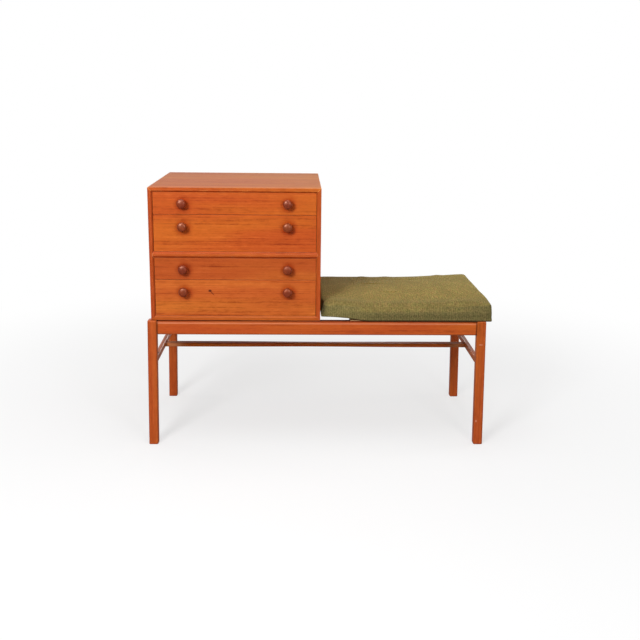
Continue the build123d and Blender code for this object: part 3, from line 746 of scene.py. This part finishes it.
def wool():
    """Woven wool: ribs run from back to front and on down the front wall.

    The courses across each rib are half a pitch from the next rib's. The yarn is heathered with
    light and dark, red and green wool, and duller in broad clouds.
    """
    made, tree, shader = material("wool_cover")
    place = add(tree, "Attribute", attribute_name="weave").outputs["Vector"]
    along, across, _ = parts(tree, place)
    rib, over, down = parts(tree, stretched(tree, place, 1 / RIB, 1 / COURSE, 1 / COURSE))
    wave = ridges(tree, rib)
    course = maths(tree, "MULTIPLY_ADD", maths(tree, "FLOOR", rib), 0.5,
                   maths(tree, "ADD", over, down))
    slubs = noise(tree, stretched(tree, place, 230.0, 90.0, 200.0), rough=0.7)
    fine = noise(tree, stretched(tree, place, 520.0, 300.0, 500.0), detail=1.0)
    heather = step(tree, maths(tree, "MULTIPLY_ADD", slubs, 0.7, maths(tree, "MULTIPLY", fine,
                                                                      0.3)), 0.36, 0.64)
    hue = step(tree, noise(tree, stretched(tree, place, 120.0, 45.0, 110.0)), 0.35, 0.65)
    clouds = step(tree, streaky(tree, place, 22.0, 14.0, 3.0), 0.3, 0.7, 0.0, 0.5)
    tone = mixed(tree, heather, mixed(tree, hue, colour(102, 95, 44), colour(116, 91, 46)),
                 mixed(tree, hue, colour(169, 150, 79), colour(180, 147, 85)))
    tone = mixed(tree, clouds, tone, colour(116, 99, 50))
    # the walls are darker and greener than the top, partly less sun-bleached and partly painted
    # shade; the top's front edge, in painted shade where it slopes down, is between them, and the
    # walls away from the chest are darker still
    wall = maths(tree, "MAXIMUM", step(tree, upward(tree), 0.97, 0.35, 0.0, 0.80),
                 step(tree, across, -0.110, -0.205, 0.0, 0.45))
    plain = mixed(tree, heather, colour(98, 92, 56), colour(128, 118, 74))
    plain = tinted(tree, step(tree, along, 0.05, 0.20), plain, 0.72, 0.72, 0.76)
    tone = mixed(tree, wall, tone, plain)
    # painted shadow of the chest on the cloth beside it, deepest at the back
    beside = maths(tree, "MULTIPLY", step(tree, along, 0.440, 0.140),
                   step(tree, across, -0.080, 0.130))
    nearer = maths(tree, "MULTIPLY", step(tree, along, 0.180, 0.010, 0.0, 0.5),
                   step(tree, across, -0.190, -0.030))
    tone = tinted(tree, maths(tree, "MAXIMUM", beside, nearer), tone, 0.66, 0.61, 0.50)
    # painted shade along the lower seam, just above the slats and the rail
    level = parts(tree, object_place(tree))[2]
    tone = mixed(tree, step(tree, level, SEAT + 0.0045, SEAT + 0.0015, 0.0, 0.8), tone,
                 colour(50, 34, 18))
    # painted shade in the folds where the cover is pushed against the chest
    fold_shade = maths(tree, "MULTIPLY", step(tree, along, 0.034, 0.004),
                    step(tree, across, -0.15, -0.19))
    fold_shade = maths(tree, "MULTIPLY", fold_shade, step(tree, slubs, 0.40, 0.60, 0.3, 1.0))
    tone = mixed(tree, fold_shade, tone, colour(44, 38, 22))
    # painted shade in the furrows between the ribs, plainest on the walls
    furrow_shade = maths(tree, "MULTIPLY", maths(tree, "SUBTRACT", 1.0, wave),
                   maths(tree, "MULTIPLY_ADD", wall, 0.26, 0.10))
    tone = mixed(tree, furrow_shade, tone, colour(62, 56, 30))
    tree.links.new(tone, shader.inputs["Base Color"])
    height = maths(tree, "MULTIPLY_ADD", ridges(tree, course), 0.35, wave)
    height = maths(tree, "MULTIPLY_ADD", heather, 0.5, height)
    bump = add(tree, "Bump", {"Height": height, "Strength": 0.45, "Distance": 0.0008})
    tree.links.new(bump.outputs[0], shader.inputs["Normal"])
    for socket, value in (("Roughness", 0.95), ("Specular IOR Level", 0.15),
                          ("Sheen Weight", 0.25), ("Sheen Roughness", 0.5),
                          ("Sheen Tint", colour(200, 190, 130))):
        shader.inputs[socket].default_value = value
    return made


# ---------------------------------------------------------------- room

AMBIENT = 0.21                    # the world's light on the object
FLOOR_SIZE = 8.0                  # half the floor's side
FLOOR_GLOW = 0.6                  # how far the floor near the bench is already background
LAMPS = (                         # name, place, height of the point aimed at, size, power
    ("key", (-1.35, -2.7, 1.9), 0.40, 0.8, 68.0),
    ("fill", (1.15, -2.8, 1.4), 0.40, 0.6, 19.0),
    ("overhead", (-0.1, -0.4, 2.5), 0.40, 1.8, 26.0),
    # low lamps for the sides and the back, too low to shine on the top and the seat
    ("right", (2.5, 0.4, 0.36), 0.45, 0.7, 13.0),
    ("left", (-2.5, 0.6, 0.36), 0.45, 0.7, 9.0),
    ("behind", (0.3, 2.6, 0.36), 0.45, 0.7, 15.0),
)


def put_camera():
    """The photograph's view: place, turn, pitch and roll were worked out from the legs' feet,
    the chest's corners and the rail, with the focal length and a small upward shift."""
    place = Vector((-0.06441785, -2.64535927, 1.04103943))
    yaw, pitch, roll = 0.02717, 0.21818, -0.01095
    focal, image, centre = 870.58823, 640.0, 280.0
    ahead = Vector((math.sin(yaw) * math.cos(pitch), math.cos(yaw) * math.cos(pitch),
                    -math.sin(pitch)))
    right = Vector((math.cos(yaw), -math.sin(yaw), 0.0))
    down = ahead.cross(right)
    turned = math.cos(roll) * right + math.sin(roll) * down
    down = math.cos(roll) * down - math.sin(roll) * right
    lens = bpy.data.cameras.new("camera")
    lens.sensor_fit, lens.sensor_width = "HORIZONTAL", 36.0
    lens.lens = focal / image * lens.sensor_width
    lens.shift_y = (centre - image / 2) / image
    lens.clip_end = 60.0
    camera = linked(bpy.data.objects.new("camera", lens))
    camera.matrix_world = Matrix(((turned.x, -down.x, -ahead.x, place.x),
                                  (turned.y, -down.y, -ahead.y, place.y),
                                  (turned.z, -down.z, -ahead.z, place.z),
                                  (0.0, 0.0, 0.0, 1.0)))
    bpy.context.scene.camera = camera


def put_lamp(name, place, aim_height, size, power):
    """A square soft lamp at a place, facing a point above the part's middle."""
    light = bpy.data.lights.new(name, "AREA")
    light.shape, light.size, light.energy = "SQUARE", size, power
    lamp = linked(bpy.data.objects.new(name, light))
    lamp.location = place
    way = Vector((0.0, 0.0, aim_height)) - Vector(place)
    lamp.rotation_euler = way.to_track_quat("-Z", "Y").to_euler()


def put_world():
    """A white world: full to the eye, dimmer in front to reflections, and dim as a light."""
    world = bpy.data.worlds.new("studio")
    world.use_nodes = True
    bpy.context.scene.world = world
    tree = world.node_tree
    background = tree.nodes["Background"]
    background.inputs["Color"].default_value = (1.0, 1.0, 1.0, 1.0)
    path = add(tree, "LightPath").outputs
    # reflections see a white wall behind the bench and a dimmer room in front of it
    ahead = parts(tree, add(tree, "TexCoord").outputs["Generated"])[1]
    room = maths(tree, "MAXIMUM", step(tree, ahead, -0.3, 0.4, 0.15, 1.0), path["Is Camera Ray"])
    # 1 for camera, mirror and glass rays, 0 for the rays that light the object
    seen = maths(tree, "MAXIMUM", path["Is Camera Ray"], path["Is Glossy Ray"])
    seen = maths(tree, "MAXIMUM", seen, path["Is Transmission Ray"])
    ambient = maths(tree, "MULTIPLY", maths(tree, "SUBTRACT", 1.0, seen), AMBIENT)
    tree.links.new(maths(tree, "MULTIPLY_ADD", seen, room, ambient),
                   background.inputs["Strength"])


def put_floor():
    """A pale floor that fades into the white away from the bench."""
    mesh = bpy.data.meshes.new("floor")
    corners = [(x * FLOOR_SIZE, y * FLOOR_SIZE, 0) for x, y in ((-1, -1), (1, -1), (1, 1), (-1, 1))]
    mesh.from_pydata(corners, [], [(0, 1, 2, 3)])
    floor = linked(bpy.data.objects.new("floor", mesh))
    made, tree, shader = material("floor")
    # the bench is lit and mirrored by a dimmer floor than the eye sees, as it is in a room
    path = add(tree, "LightPath").outputs
    bounced = mixed(tree, path["Is Glossy Ray"], (0.36, 0.36, 0.36, 1.0), (0.22, 0.22, 0.22, 1.0))
    tree.links.new(mixed(tree, path["Is Camera Ray"], bounced, (0.86, 0.86, 0.86, 1.0)),
                   shader.inputs["Base Color"])
    shader.inputs["Roughness"].default_value = 0.8
    glow = add(tree, "Emission", {"Color": (1, 1, 1, 1), "Strength": 1.0})
    away = length(tree, object_place(tree))
    share = maths(tree, "MULTIPLY", step(tree, away, 0.5, 2.0, FLOOR_GLOW, 1.0),
                  path["Is Camera Ray"])
    both = add(tree, "MixShader", {0: share, 1: shader.outputs[0], 2: glow.outputs[0]})
    tree.links.new(both.outputs[0], tree.nodes["Material Output"].inputs["Surface"])
    mesh.materials.append(made)


put_camera()
put_world()
for lamp in LAMPS:
    put_lamp(*lamp)
put_floor()
dress_wood()
make_cushion()
bpy.context.scene.view_settings.view_transform = "Standard"
